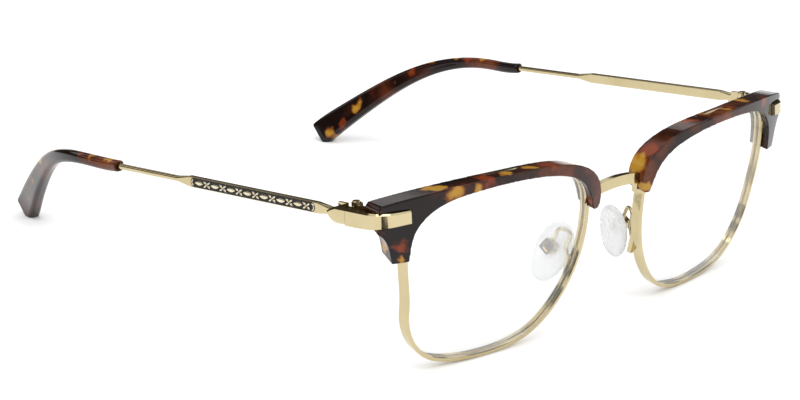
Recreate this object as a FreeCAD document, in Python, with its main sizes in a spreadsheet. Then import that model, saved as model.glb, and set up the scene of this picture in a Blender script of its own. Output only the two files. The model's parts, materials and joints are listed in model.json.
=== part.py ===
import FreeCAD, Part
import Sketcher
import math
import os

# Browline eyeglasses, in millimetres. The wearer's left half is modelled on +X and mirrored for the right.
# +X is the wearer's left, the lenses face -Y, +Z is up and the open glasses stand on the plane Z = 0.

doc = FreeCAD.newDocument("browline_glasses")
V = FreeCAD.Vector

SIZES = [
    # the lens outline and how the lens sits
    ("lens_centre_x", 34.05, "lens centre to the middle of the nose"),
    ("lens_centre_y", -75.75, "lens centre, forward of the middle of the whole length"),
    ("lens_centre_z", 15.65, "lens centre above the table"),
    ("lens_scale", 1.0, "size of the lens outline against the 52 mm lens"),
    ("face_wrap", 4.9, "degrees each lens turns round the face"),
    ("lens_tilt", 10.9, "degrees the lens leans forward at the top"),
    ("base_radius", 120.0, "radius of the lens curve"),
    ("lens_thickness", 1.6, "lens"),
    ("lens_gap", 0.03, "gap between the lens and the rim groove"),
    ("tongue_depth", 0.45, "how far the lens edge reaches into the rim"),
    ("tongue_thickness", 0.8, "thickness of the lens edge in the groove"),
    # the metal rim
    ("rim_width", 0.95, "rim seen from the front"),
    ("rim_depth", 2.2, "rim from front to back"),
    ("rim_split", 0.16, "saw cut that lets the rim open for the lens"),
    ("split_height", 18.2, "saw cut above the lens centre"),
    ("block_length", 2.2, "each rim closing block along the rim"),
    ("block_width", 1.9, "closing block outward from the rim"),
    ("rim_screw_radius", 0.45, "rim screw"),
    # the acetate brow
    ("brow_front", 2.9, "brow front face ahead of the lens surface"),
    ("brow_back", 2.3, "brow back face behind the lens surface"),
    ("brow_gap", 0.06, "gap between the brow channel and the rim"),
    ("brow_taper", 13.0, "degrees the brow narrows from front to back"),
    ("brow_screw_radius", 0.5, "brow screw"),
    # the bridge
    ("bridge_thickness", 1.5, "bridge strip from front to back"),
    ("bridge_height", 2.5, "bridge strip height"),
    ("bridge_arch", 0.9, "rise of the bridge in the middle"),
    ("bridge_top", 35.2, "top of the bridge at its ends"),
    # the temple frame: seam between endpiece and temple
    ("seam_x", 70.3, "middle of the endpiece at the seam"),
    ("seam_y", -62.65, "seam"),
    ("seam_z", 38.0, "middle of the endpiece height at the seam"),
    ("temple_slope", 5.5, "degrees the temples fall to the back"),
    ("end_thickness", 2.2, "endpiece and butt, inside to outside"),
    ("end_height", 3.75, "endpiece and butt height at the seam"),
    ("plate_thickness", 1.2, "front plate of the endpiece"),
    ("end_bevel", 0.5, "bevel along the endpiece"),
    ("notch_gap", 0.06, "gap between the endpiece and the brow notch"),
    ("seam_gap", 0.06, "gap at the seam"),
    ("end_corner", 10.65, "corner of the endpiece, forward of the seam"),
    ("end_front", 12.85, "front end of the endpiece, forward of the seam"),
    ("end_reach", 6.3, "front end of the endpiece, inward of its side"),
    ("end_turn_radius", 6.0, "outer bend of the endpiece round the brow's corner"),
    # the hinge
    ("pin_inset", 2.55, "hinge pin inward of the middle of the endpiece"),
    ("knuckle_radius", 1.1, "hinge knuckles"),
    ("knuckle_low", -1.7, "bottom of the lowest knuckle"),
    ("knuckle_high", 2.6, "top of the highest knuckle"),
    ("middle_knuckle", 1.5, "height of the temple's knuckle"),
    ("knuckle_gap", 0.06, "gap between knuckles"),
    ("leaf_length", 4.2, "hinge leaf from the pin"),
    ("leaf_thickness", 0.7, "hinge leaf"),
    ("leaf_relief", 1.5, "where a full height leaf starts"),
    ("hinge_pin_radius", 0.5, "hinge screw"),
    ("hinge_running_gap", 0.04, "gap round the hinge screw in the temple knuckle"),
    # the temple
    ("butt_length", 5.6, "butt behind the seam"),
    ("temple_lift", 0.6, "middle of the temple above the middle of the butt"),
    ("bar_height", 2.6, "flattened bar of the temple"),
    ("bar_thickness", 1.3, "flattened bar of the temple"),
    ("wire_radius", 0.7, "round wire of the temple"),
    ("panel_start", 9.75, "enamel panel behind the seam"),
    ("panel_length", 42.0, "enamel panel"),
    ("panel_height", 2.14, "enamel panel"),
    ("panel_depth", 0.25, "enamel panel set into the bar"),
    ("tip_start", 79.1, "mouth of the tip behind the seam"),
    ("core_gap", 0.02, "gap round the core in the tip"),
    ("tip_height", 2.6, "tip at its mouth"),
    ("tip_thickness", 3.0, "tip at its mouth"),
    ("tip_end_width", 7.6, "flared end of the tip"),
    ("tip_end_thickness", 3.4, "flared end of the tip"),
    # the nose pads
    ("pad_x", 11.0, "pad centre from the middle of the nose"),
    ("pad_y", -69.0, "pad centre"),
    ("pad_z", 18.0, "pad centre"),
    ("pad_height", 15.0, "pad"),
    ("pad_width", 9.0, "pad"),
    ("pad_thickness", 1.7, "pad"),
    ("pad_flare", 20.0, "degrees the pad's foot stands out from its top"),
    ("pad_lean", 16.7, "degrees the top of the pad stands forward"),
    ("pad_splay", 12.0, "degrees the pad opens to the back"),
    ("pad_rock_turn", 16.0, "degrees the pad screw turns up from front to back"),
    ("pad_pin_height", 2.0, "pad screw outward of the pad's middle"),
    ("pad_pin_rise", 1.3, "pad screw above the pad's middle"),
    ("box_side", 3.0, "square pad box"),
    ("box_wall", 0.45, "wall of the pad box"),
    ("box_recess", 0.6, "square recess in the back of the pad box"),
    ("stem_gap", 0.25, "room round the pad stem in its box"),
    ("pad_screw_radius", 0.4, "pad screw"),
    ("pad_running_gap", 0.05, "gap round the pad screw in the stem"),
    ("arm_radius", 0.45, "pad arm wire"),
]

sheet = doc.addObject("Spreadsheet::Sheet", "sizes")
for row, (name, value, meaning) in enumerate(SIZES, start=1):
    sheet.set("A%d" % row, meaning)
    sheet.set("B%d" % row, str(value))
    sheet.setAlias("B%d" % row, name)
doc.recompute()


def size(name):
    return float(sheet.get(name))


# ------------------------------------------------------------------ small helpers

def add_shape(label, shape, placement=None):
    # a shape worked out from the sizes, as an object of the document
    obj = doc.addObject("Part::Feature", label)
    obj.Label = label
    obj.Shape = shape
    if placement is not None:
        obj.Placement = placement
    return obj


def spline_wire(points):
    # a smooth closed curve through the points
    curve = Part.BSplineCurve()
    curve.interpolate([V(*p) for p in points], PeriodicFlag=True)
    return Part.Wire(curve.toShape())


def open_spline(points):
    curve = Part.BSplineCurve()
    curve.interpolate([V(*p) for p in points])
    return curve


def line(a, b):
    return Part.LineSegment(V(*a), V(*b)).toShape()


def polygon(points):
    return Part.Wire(Part.makePolygon([V(*p) for p in list(points) + [points[0]]]))


def rounded_edges(points, radii, closed=False):
    # straight runs joined by tangent arcs; a corner with radius 0 stays sharp
    points = [V(*p) for p in points]
    count = len(points)
    starts, ends, arcs = [], [], []
    for i in range(count):
        spot = points[i]
        if radii[i] == 0 or (not closed and i in (0, count - 1)):
            starts.append(spot)
            ends.append(spot)
            arcs.append(None)
            continue
        back = (points[i - 1] - spot).normalize()
        ahead = (points[(i + 1) % count] - spot).normalize()
        half_angle = back.getAngle(ahead) / 2
        reach = radii[i] / math.tan(half_angle)
        middle = spot + (back + ahead).normalize() * (radii[i] / math.sin(half_angle) - radii[i])
        starts.append(spot + back * reach)
        ends.append(spot + ahead * reach)
        arcs.append(Part.Arc(starts[-1], middle, ends[-1]).toShape())
    edges = []
    for i in range(count if closed else count - 1):
        edges.append(Part.LineSegment(ends[i], starts[(i + 1) % count]).toShape())
        following = arcs[(i + 1) % count]
        if following is not None:
            edges.append(following)
    return edges


def largest(shape):
    # the biggest solid, without the slivers a cut can leave
    return max(shape.Solids, key=lambda solid: solid.Volume)


def box(x0, x1, y0, y1, z0, z1):
    return Part.makeBox(x1 - x0, y1 - y0, z1 - z0, V(x0, y0, z0))


def soften(shape, edges, amount, bevel=False):
    # round or bevel edges, and leave out those that the kernel can't do
    edges = [e for e in edges if e.Length > 3 * amount]
    for step in (len(edges), 1):
        done = shape
        for first in range(0, len(edges), max(step, 1)):
            group = edges[first:first + step]
            try:
                make = done.makeChamfer if bevel else done.makeFillet
                trial = make(amount, group)
                if trial.isValid() and trial.Volume > 0.5 * shape.Volume:
                    done = trial
            except Exception:
                continue
        if done is not shape:
            return done
    return shape


# ------------------------------------------------------------------ lens frame: u outward, v up, n to the front

wrap = math.radians(size("face_wrap"))
tilt = math.radians(size("lens_tilt"))
across = V(math.cos(wrap), math.sin(wrap), 0)
upward = V(0, -math.sin(tilt), math.cos(tilt))
upward = (upward - across * upward.dot(across)).normalize()
forward = across.cross(upward)
lens_centre = V(size("lens_centre_x"), size("lens_centre_y"), size("lens_centre_z"))
LENS_FRAME = FreeCAD.Placement(lens_centre, FreeCAD.Rotation(across, upward, forward, "ZXY"))

# inner line of the rim in u, v: outer side, upper outer corner, top, nasal side and bottom
scale = size("lens_scale")
RIM_LINE = [(u * scale, v * scale) for u, v in (
    (26.5, 0.0), (27.9, 9.0), (28.3, 17.0), (26.7, 21.9), (22.4, 25.0), (12.5, 27.1), (2.0, 27.6), (-8.0, 26.9),
    (-16.4, 24.7), (-22.0, 20.4), (-23.8, 11.5), (-21.5, 0.0), (-16.5, -7.9), (-10.2, -12.75), (-3.3, -14.5),
    (3.4, -14.9), (11.5, -14.4), (18.6, -12.6), (23.6, -8.2))]


def offset_line(distance, count=72):
    # the rim line moved outward by a distance, as a smooth closed curve
    curve = Part.BSplineCurve()
    curve.interpolate([V(u, v, 0) for u, v in RIM_LINE], PeriodicFlag=True)
    first, last = curve.FirstParameter, curve.LastParameter
    points = []
    for i in range(count):
        t = first + (last - first) * i / count
        spot = curve.value(t)
        along = curve.tangent(t)[0]
        points.append((spot.x + along.y * distance, spot.y - along.x * distance, 0))
    return points


def prism(points, smooth=True):
    wire = spline_wire(points) if smooth else polygon(points)
    solid = Part.Face(wire).extrude(V(0, 0, 40))
    solid.translate(V(0, 0, -20))
    return solid


def shell(front, back):
    # the space between two spheres that follow the lens curve, front and back measured from the lens surface
    radius = size("base_radius")
    balls = [Part.makeSphere(radius + front), Part.makeSphere(radius - back)]
    for ball in balls:
        ball.rotate(V(0, 0, 0), V(0, 1, 0), 90)
        ball.translate(V(0, 0, -radius))
    return balls[0].cut(balls[1])


half_rim = size("rim_depth") / 2
rim_width = size("rim_width")
rim_outer_prism = prism(offset_line(rim_width))
rim_inner_prism = prism(offset_line(0.0))

# ------------------------------------------------------------------ lens

half_lens = size("lens_thickness") / 2
half_tongue = size("tongue_thickness") / 2
lens_gap = size("lens_gap")
tongue = size("tongue_depth")
lens_body = prism(offset_line(-lens_gap)).common(shell(half_lens, half_lens))
lens_edge = prism(offset_line(tongue - lens_gap)).common(shell(half_tongue, half_tongue))
lens_shape = lens_body.fuse(lens_edge).removeSplitter()

# ------------------------------------------------------------------ rim with its groove and saw cut

rim_shape = rim_outer_prism.cut(rim_inner_prism).common(shell(half_rim, half_rim))
groove = prism(offset_line(tongue)).common(shell(half_tongue + lens_gap, half_tongue + lens_gap))
rim_shape = rim_shape.cut(groove)
split_v = size("split_height")
split = size("rim_split")
split_u = 28.25 * scale
saw_cut = box(split_u - 3, split_u + 6, split_v - split / 2, split_v + split / 2, -10, 10)
rim_shape = rim_shape.cut(saw_cut)

# closing blocks stand on the outside of the rim, above and below the saw cut
block_long = size("block_length")
block_wide = size("block_width")
block_half = half_rim - 0.1
surface_n = -(split_u ** 2 + split_v ** 2) / (2 * size("base_radius"))


def closing_block(low, high):
    block = box(split_u - 1, split_u + rim_width + block_wide, low, high, surface_n - block_half,
                surface_n + block_half)
    return block.cut(rim_outer_prism)


upper_block = closing_block(split_v + split / 2, split_v + split / 2 + block_long)
lower_block = closing_block(split_v - split / 2 - block_long, split_v - split / 2)
screw_u = split_u + rim_width + block_wide * 0.55
rim_screw_r = size("rim_screw_radius")
screw_low = split_v - split / 2 - block_long
screw_long = 2 * block_long + split
head_deep = 0.5
rim_screw = Part.makeCylinder(rim_screw_r, screw_long, V(screw_u, screw_low, surface_n), V(0, 1, 0))
rim_screw = rim_screw.fuse(Part.makeCylinder(0.7, head_deep, V(screw_u, screw_low, surface_n), V(0, 1, 0)))
rim_screw = rim_screw.removeSplitter()
upper_block = upper_block.cut(rim_screw)
lower_block = lower_block.cut(rim_screw)

# ------------------------------------------------------------------ endpiece, in the temple frame

TEMPLE_FRAME = FreeCAD.Placement(
    V(size("seam_x"), size("seam_y"), size("seam_z")), FreeCAD.Rotation(V(1, 0, 0), -size("temple_slope")))
half_end = size("end_thickness") / 2
end_height = size("end_height")
plate = size("plate_thickness")
side_inside = -0.2
thin_from = -5.8
thick_from = -3.4
end_corner = -size("end_corner")
end_front = -size("end_front")
end_reach = -size("end_reach")
end_turn = size("end_turn_radius")


def end_outline(gap):
    # the strip seen from above: straight along the temple, round the brow's corner, along the brow's front
    low = -end_height / 2 - gap
    run = V(end_reach - half_end, end_front - end_corner, 0).normalize()
    inward = V(run.y, -run.x, 0)
    tip = V(end_reach, end_front, 0) + run * gap
    tip_inside = tip + inward * (plate + gap)
    side_line = side_inside - gap
    inner_corner = tip_inside - run * ((tip_inside.x - side_line) / run.x)
    points = [(half_end, 0, low), (half_end, end_corner, low), (tip.x, tip.y, low),
              (tip_inside.x, tip_inside.y, low), (inner_corner.x, inner_corner.y, low),
              (side_line, thin_from, low), (-half_end, thick_from, low), (-half_end, 0, low)]
    return rounded_edges(points, [0, end_turn, 0, 0, end_turn - plate - gap, 0, 0, 0], closed=True)


def end_plan(gap=0.0):
    return Part.Face(Part.Wire(end_outline(gap))).extrude(V(0, 0, end_height + 2 * gap))


def end_side(gap=0.0):
    # the strip seen from the side: its lower edge rises towards the front
    top = end_height / 2 + gap
    rise = 0.25 * end_height
    points = [(-20, 1, top), (-20, end_front - 1, top - 0.2), (-20, end_front - 1, -top + rise),
              (-20, end_corner + 2.4, -top + 0.05 * end_height), (-20, thick_from, -top), (-20, 1, -top)]
    return Part.Face(polygon(points)).extrude(V(40, 0, 0))


bevel = size("end_bevel")
endpiece = end_plan()
outer_wire = Part.Wire(end_outline(0.0)[:3])
top_edges = []
for edge in endpiece.Edges:
    middle = edge.valueAt((edge.FirstParameter + edge.LastParameter) / 2)
    low_middle = Part.Vertex(middle.x, middle.y, -end_height / 2)
    if abs(middle.z - end_height / 2) < 0.001 and low_middle.distToShape(outer_wire)[0] < 0.001:
        top_edges.append(edge)
endpiece = soften(endpiece, top_edges, bevel, bevel=True).common(end_side())
print("endpiece bevel on", len(top_edges), "edges")
end_tool = end_plan(size("notch_gap")).common(end_side(size("notch_gap")))
LENS_FROM_TEMPLE = LENS_FRAME.inverse().multiply(TEMPLE_FRAME)
end_tool_local = end_tool.copy()
end_tool_local.Placement = LENS_FROM_TEMPLE.multiply(end_tool_local.Placement)

# ------------------------------------------------------------------ bridge, in the final frame

bridge_top = size("bridge_top")
bridge_high = size("bridge_height")
arch = size("bridge_arch")
bridge_front = size("lens_centre_y") - 2.9
reach = 11.5
strip_edges = [
    Part.Arc(V(-reach, bridge_front, bridge_top - 0.75), V(0, bridge_front, bridge_top + arch),
             V(reach, bridge_front, bridge_top - 0.75)).toShape(),
    line((reach, bridge_front, bridge_top - 0.75), (reach, bridge_front, bridge_top - 0.75 - bridge_high)),
    Part.Arc(V(reach, bridge_front, bridge_top - 0.75 - bridge_high),
             V(0, bridge_front, bridge_top + arch - bridge_high),
             V(-reach, bridge_front, bridge_top - 0.75 - bridge_high)).toShape(),
    line((-reach, bridge_front, bridge_top - 0.75 - bridge_high), (-reach, bridge_front, bridge_top - 0.75)),
]
bridge = Part.Face(Part.Wire(strip_edges)).extrude(V(0, size("bridge_thickness"), 0))
foot_low = bridge_top - bridge_high - 2.2
for side in (-1, 1):
    foot = box(min(side * 7.6, side * 12), max(side * 7.6, side * 12), bridge_front + 0.5,
               bridge_front + 0.5 + size("bridge_thickness"), foot_low, bridge_top - 1.5)
    bridge = bridge.fuse(foot)
bridge = bridge.removeSplitter()
bridge_tool = Part.Face(Part.Wire(strip_edges)).extrude(V(0, size("bridge_thickness"), 0))

# ------------------------------------------------------------------ brow

front = size("brow_front")
back = size("brow_back")
taper = math.tan(math.radians(size("brow_taper")))
BROW_TOP = [(u * scale, v * scale) for u, v in (
    (35.9, 26.1), (28.5, 27.6), (21.0, 28.6), (12.0, 29.3), (2.0, 29.5), (-8.0, 29.1), (-16.4, 27.7),
    (-21.4, 25.8), (-25.0, 23.1), (-26.7, 19.9), (-26.8, 17.0))]
BROW_LOW = [(u * scale, v * scale) for u, v in (
    (-24.2, 15.4), (-23.3, 17.8), (-21.6, 20.9), (-19.4, 23.0), (-14.4, 25.4), (-8.4, 26.8), (-3.2, 27.4),
    (2.0, 27.65), (7.0, 27.55), (12.7, 27.1), (18.0, 26.3), (22.4, 24.9), (26.0, 22.6), (28.2, 19.6),
    (29.0, 16.5), (29.2, 13.4))]
BROW_FOOT = [(u * scale, v * scale) for u, v in ((33.2, 13.1), (33.9, 16.0), (34.9, 18.3), (36.7, 19.9))]


def drafted(points, depth):
    # the points of an outer line, moved inward by the taper between the brow's front face and this depth
    curve = open_spline([(u, v, 0) for u, v in points])
    moved = []
    for u, v in points:
        along = curve.tangent(curve.parameter(V(u, v, 0)))[0]
        shift = taper * (front - (u ** 2 + v ** 2) / (2 * size("base_radius")) - depth)
        moved.append((u - along.y * shift, v + along.x * shift, depth))
    return moved


def brow_outline(depth):
    # the brow seen from the front: top, nose end, inner line, foot and outer end
    over = drafted(BROW_TOP, depth)
    inner = [(u, v, depth) for u, v in BROW_LOW]
    outer_foot = drafted(BROW_FOOT, depth)
    nose_low = (inner[0][0] + 0.65 * (over[-1][0] - inner[0][0]), inner[0][1] - 0.15, depth)
    corner = (outer_foot[-1][0], over[0][1] - 0.8, depth)
    return Part.Wire([
        open_spline(over).toShape(),
        Part.Arc(V(*over[-1]), V(*nose_low), V(*inner[0])).toShape(),
        open_spline(inner).toShape(),
        line(inner[-1], outer_foot[0]),
        open_spline(outer_foot).toShape(),
        line(outer_foot[-1], corner),
        line(corner, over[0]),
    ])


brow_solid = Part.makeLoft([brow_outline(3.2), brow_outline(-10.5)], True, True).common(shell(front, back))
brow_gap = size("brow_gap")
channel = prism(offset_line(rim_width + brow_gap)).common(shell(half_rim + brow_gap, half_rim + brow_gap))
cavity = box(split_u - 1, split_u + rim_width + block_wide + brow_gap, split_v - block_long - split,
             split_v + block_long + split, surface_n - half_rim - brow_gap, surface_n + half_rim + brow_gap)
brow_solid = brow_solid.cut(channel).cut(cavity)

# brow screws come from behind through the back wall: one near the nose, one near the endpiece
BROW_SCREWS = [(-21.5, 22.8), (31.2, 22.3)]
brow_screw_r = size("brow_screw_radius")
screw_parts = []
for u, v in BROW_SCREWS:
    u, v = u * scale, v * scale
    n_here = -(u ** 2 + v ** 2) / (2 * size("base_radius"))
    start = V(u, v, n_here - back - 0.35)
    pin = Part.makeCylinder(brow_screw_r, back + 0.35 + half_rim + 0.8, start, V(0, 0, 1))
    head = Part.makeCylinder(brow_screw_r * 1.8, 0.5, start, V(0, 0, 1))
    screw_parts.append(pin.fuse(head).removeSplitter())
for part in screw_parts:
    brow_solid = brow_solid.cut(part)
brow_solid = brow_solid.cut(end_tool_local)
bridge_local = bridge_tool.copy()
bridge_local.Placement = LENS_FRAME.inverse()
brow_solid = brow_solid.cut(bridge_local)
rim_for_screws = rim_shape
for part in screw_parts:
    rim_for_screws = rim_for_screws.cut(part)
brow_solid = largest(brow_solid)


# ------------------------------------------------------------------ PartDesign helpers

def new_body(label, placement):
    body = doc.addObject("PartDesign::Body", label)
    body.Label = label
    body.Placement = placement
    return body


def new_sketch(body, name, role, offset):
    # a sketch on one of the body's own origin planes, raised by an expression
    sketch = body.newObject("Sketcher::SketchObject", name)
    plane = [f for f in body.Origin.OriginFeatures if f.Role == role][0]
    sketch.AttachmentSupport = [(plane, "")]
    sketch.MapMode = "FlatFace"
    sketch.setExpression("AttachmentOffset.Base.z", offset)
    return sketch


def add_rectangle(sketch, left, right, low, high):
    # each side is held by an expression that gives its distance from the sketch origin
    x0, x1, y0, y1 = -1.0, 1.0, -1.0, 1.0
    sides = [((x0, y0), (x1, y0)), ((x1, y0), (x1, y1)), ((x1, y1), (x0, y1)), ((x0, y1), (x0, y0))]
    for a, b in sides:
        sketch.addGeometry(Part.LineSegment(V(a[0], a[1], 0), V(b[0], b[1], 0)))
    for i in range(4):
        sketch.addConstraint(Sketcher.Constraint("Coincident", i, 2, (i + 1) % 4, 1))
    for i, kind in enumerate(("Horizontal", "Vertical", "Horizontal", "Vertical")):
        sketch.addConstraint(Sketcher.Constraint(kind, i))
    for kind, corner, expression in (("DistanceX", 0, left), ("DistanceX", 2, right),
                                     ("DistanceY", 0, low), ("DistanceY", 2, high)):
        where = 1
        index = sketch.addConstraint(Sketcher.Constraint(kind, corner, where, 0.5))
        sketch.setExpression("Constraints[%d]" % index, expression)


def add_circle(sketch, x, y, radius):
    sketch.addGeometry(Part.Circle(V(1, 1, 0), V(0, 0, 1), 1.0))
    for kind, expression in (("DistanceX", x), ("DistanceY", y)):
        index = sketch.addConstraint(Sketcher.Constraint(kind, 0, 3, 0.5))
        sketch.setExpression("Constraints[%d]" % index, expression)
    index = sketch.addConstraint(Sketcher.Constraint("Radius", 0, 1.0))
    sketch.setExpression("Constraints[%d]" % index, radius)


def pad_up(body, name, sketch, length):
    pad = body.newObject("PartDesign::Pad", name)
    pad.Profile = sketch
    pad.setExpression("Length", length)
    sketch.Visibility = False
    body.Tip = pad
    return pad


def cut_up(body, name, sketch, length):
    pocket = body.newObject("PartDesign::Pocket", name)
    pocket.Profile = sketch
    pocket.Reversed = True
    pocket.setExpression("Length", length)
    body.Tip = pocket
    return pocket

# ------------------------------------------------------------------ hinge leaves, in the temple frame

# heights of the three knuckles, written as expressions of the sheet
MIDDLE_LOW = "(sizes.knuckle_low + sizes.knuckle_high - sizes.middle_knuckle) / 2"
MIDDLE_HIGH = "(sizes.knuckle_low + sizes.knuckle_high + sizes.middle_knuckle) / 2"
LOW_KNUCKLE = ("sizes.knuckle_low", MIDDLE_LOW + " - sizes.knuckle_gap - sizes.knuckle_low")
HIGH_KNUCKLE = (MIDDLE_HIGH + " + sizes.knuckle_gap",
                "sizes.knuckle_high - " + MIDDLE_HIGH + " - sizes.knuckle_gap")
MIDDLE_KNUCKLE = (MIDDLE_LOW, "sizes.middle_knuckle")


def hinge_leaf(label, sign, knuckles, hole):
    # a plate soldered inside the strip, and the knuckles that stand at its end round the hinge screw
    body = new_body(label, TEMPLE_FRAME)
    near, far = ("sizes.leaf_relief", "sizes.leaf_length")
    low, high = (near, far) if sign > 0 else ("-" + far, "-" + near)
    inner = "-sizes.end_thickness / 2 - sizes.leaf_thickness"
    outer = "-sizes.end_thickness / 2"
    plate_sketch = new_sketch(body, label + "_plate", "XY_Plane", "sizes.knuckle_low")
    add_rectangle(plate_sketch, inner, outer, low, high)
    pad_up(body, label + "_plate_pad", plate_sketch, "sizes.knuckle_high - sizes.knuckle_low - 0.2")
    web_low, web_high = ("0.0", near) if sign > 0 else ("-" + near, "0.0")
    for i, (start, tall) in enumerate(knuckles):
        web = new_sketch(body, label + "_web_%d" % i, "XY_Plane", start)
        reach_in = "-sizes.pin_inset - sizes.knuckle_radius * 0.5"
        add_rectangle(web, reach_in, "-sizes.end_thickness / 2 - 0.35", web_low, web_high)
        pad_up(body, label + "_web_pad_%d" % i, web, tall)
        ring = new_sketch(body, label + "_ring_%d" % i, "XY_Plane", start)
        add_circle(ring, "-sizes.pin_inset", "0.0", "sizes.knuckle_radius")
        pad_up(body, label + "_ring_pad_%d" % i, ring, tall)
        bore = new_sketch(body, label + "_bore_%d" % i, "XY_Plane", start)
        add_circle(bore, "-sizes.pin_inset", "0.0", "sizes.hinge_pin_radius + " + hole)
        cut_up(body, label + "_bore_cut_%d" % i, bore, tall)
    return body


front_leaf = hinge_leaf("left_front_hinge_leaf", -1, (LOW_KNUCKLE, HIGH_KNUCKLE), "0.0")
temple_leaf = hinge_leaf("left_temple_hinge_leaf", 1, (MIDDLE_KNUCKLE,), "sizes.hinge_running_gap")

# ------------------------------------------------------------------ hinge screw, in the temple frame

pin_x = -size("pin_inset")
pin_r = size("hinge_pin_radius")
knuckle_low = size("knuckle_low")
knuckle_high = size("knuckle_high")
hinge_screw = Part.makeCylinder(pin_r, knuckle_high - knuckle_low, V(pin_x, 0, knuckle_low))
screw_head = Part.makeCylinder(0.85, 0.35, V(pin_x, 0, knuckle_high))
driver_slot = box(pin_x - 1, pin_x + 1, -0.12, 0.12, knuckle_high + 0.2, knuckle_high + 1)
hinge_screw = hinge_screw.fuse(screw_head).removeSplitter().cut(driver_slot)

# ------------------------------------------------------------------ temple arm, in the temple frame


def rounded_section(y, wide, high, corner):
    # a rounded rectangle across the temple, always drawn from the same corner
    a, b = wide / 2, high / 2
    corner = min(corner, a - 0.02, b - 0.02)
    k = corner * (1 - math.sqrt(0.5))
    edges = [
        line((-a + corner, y, -b), (a - corner, y, -b)),
        Part.Arc(V(a - corner, y, -b), V(a - k, y, -b + k), V(a, y, -b + corner)).toShape(),
        line((a, y, -b + corner), (a, y, b - corner)),
        Part.Arc(V(a, y, b - corner), V(a - k, y, b - k), V(a - corner, y, b)).toShape(),
        line((a - corner, y, b), (-a + corner, y, b)),
        Part.Arc(V(-a + corner, y, b), V(-a + k, y, b - k), V(-a, y, b - corner)).toShape(),
        line((-a, y, b - corner), (-a, y, -b + corner)),
        Part.Arc(V(-a, y, -b + corner), V(-a + k, y, -b + k), V(-a + corner, y, -b)).toShape(),
    ]
    return Part.Wire(edges)


butt = size("butt_length")
seam_gap = size("seam_gap")
temple_lift = V(0, 0, size("temple_lift"))
top = end_height / 2
side_edges = [
    line((-half_end, seam_gap, -top), (-half_end, butt * 0.55, -top)),
    Part.Arc(V(-half_end, butt * 0.55, -top), V(-half_end, butt * 0.9, -top * 0.62),
             V(-half_end, butt + 0.5, temple_lift.z)).toShape(),
    Part.Arc(V(-half_end, butt + 0.5, temple_lift.z), V(-half_end, butt * 0.9, top * 0.62),
             V(-half_end, butt * 0.55, top)).toShape(),
    line((-half_end, butt * 0.55, top), (-half_end, seam_gap, top)),
    line((-half_end, seam_gap, top), (-half_end, seam_gap, -top)),
]
butt_solid = Part.Face(Part.Wire(side_edges)).extrude(V(2 * half_end, 0, 0))
butt_edges = [e for e in butt_solid.Edges if e.BoundBox.XMin > half_end - 0.01 and e.BoundBox.YMax > 1]
butt_solid = soften(butt_solid, butt_edges, bevel, bevel=True)

wire_r = size("wire_radius")
bar_t = size("bar_thickness")
bar_h = size("bar_height")
panel_start = size("panel_start")
panel_end = panel_start + size("panel_length")
tip_start = size("tip_start")
wire_side = 2 * wire_r
taper_long = 5.0
neck = Part.makeLoft([rounded_section(butt * 0.6, wire_side, wire_side, wire_r),
                      rounded_section(panel_start - 0.6, bar_t, bar_h, 0.3)], True)
bar = Part.makeLoft([rounded_section(panel_start - 0.6, bar_t, bar_h, 0.3),
                     rounded_section(panel_end + 0.6, bar_t, bar_h, 0.3)], True)
taper = Part.makeLoft([rounded_section(panel_end + 0.6, bar_t, bar_h, 0.3),
                       rounded_section(panel_end + taper_long, wire_side, wire_side, wire_r)], True)
rear_wire = Part.makeLoft([rounded_section(panel_end + taper_long, wire_side, wire_side, wire_r),
                           rounded_section(tip_start + 1, wire_side, wire_side, wire_r)], True)
for length in (neck, bar, taper, rear_wire):
    length.translate(temple_lift)

# path of the temple's core and of the tip round it: behind the seam it bends down and inward
TIP_PATH = [(0, 0, 0), (-0.1, 11.5, 0), (-0.8, 19.7, -0.25), (-2.3, 26.2, -1.25), (-4.2, 32.0, -3.0),
            (-6.2, 37.2, -5.2), (-8.3, 42.5, -8.1), (-12.7, 53.0, -14.8), (-17.4, 64.5, -23.4)]
TIP_PATH = [V(x, y + tip_start, z) + temple_lift for x, y, z in TIP_PATH]
tip_curve = open_spline(TIP_PATH)
core_end = tip_curve.parameter(TIP_PATH[6])
core_curve = tip_curve.copy()
core_curve.segment(tip_curve.FirstParameter, core_end)
core_wire = Part.Wire(core_curve.toShape())
core_r = wire_r - 0.05


def along_path(radius):
    ring = Part.Wire(Part.makeCircle(radius, TIP_PATH[0], V(0, 1, 0)))
    return core_wire.makePipeShell([ring], True, True)


core = along_path(core_r)
panel_recess_depth = size("panel_depth")
half_panel = size("panel_height") / 2


def panel_plate(depth_in, depth_out):
    # a slot shape with round ends on the outer face of the bar
    x0, x1 = bar_t / 2 - depth_in, bar_t / 2 + depth_out
    ends = (panel_start + half_panel, panel_end - half_panel)
    plate_box = box(x0, x1, ends[0], ends[1], -half_panel, half_panel)
    for y in ends:
        plate_box = plate_box.fuse(Part.makeCylinder(half_panel, x1 - x0, V(x0, y, 0), V(1, 0, 0)))
    plate_box.translate(temple_lift)
    return plate_box.removeSplitter()


temple_arm = butt_solid.fuse([neck, bar, taper, rear_wire, core]).removeSplitter()
temple_arm = temple_arm.cut(panel_plate(panel_recess_depth, 1.0))
panel = panel_plate(panel_recess_depth, -0.05)

# ------------------------------------------------------------------ temple tip, in the temple frame

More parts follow.
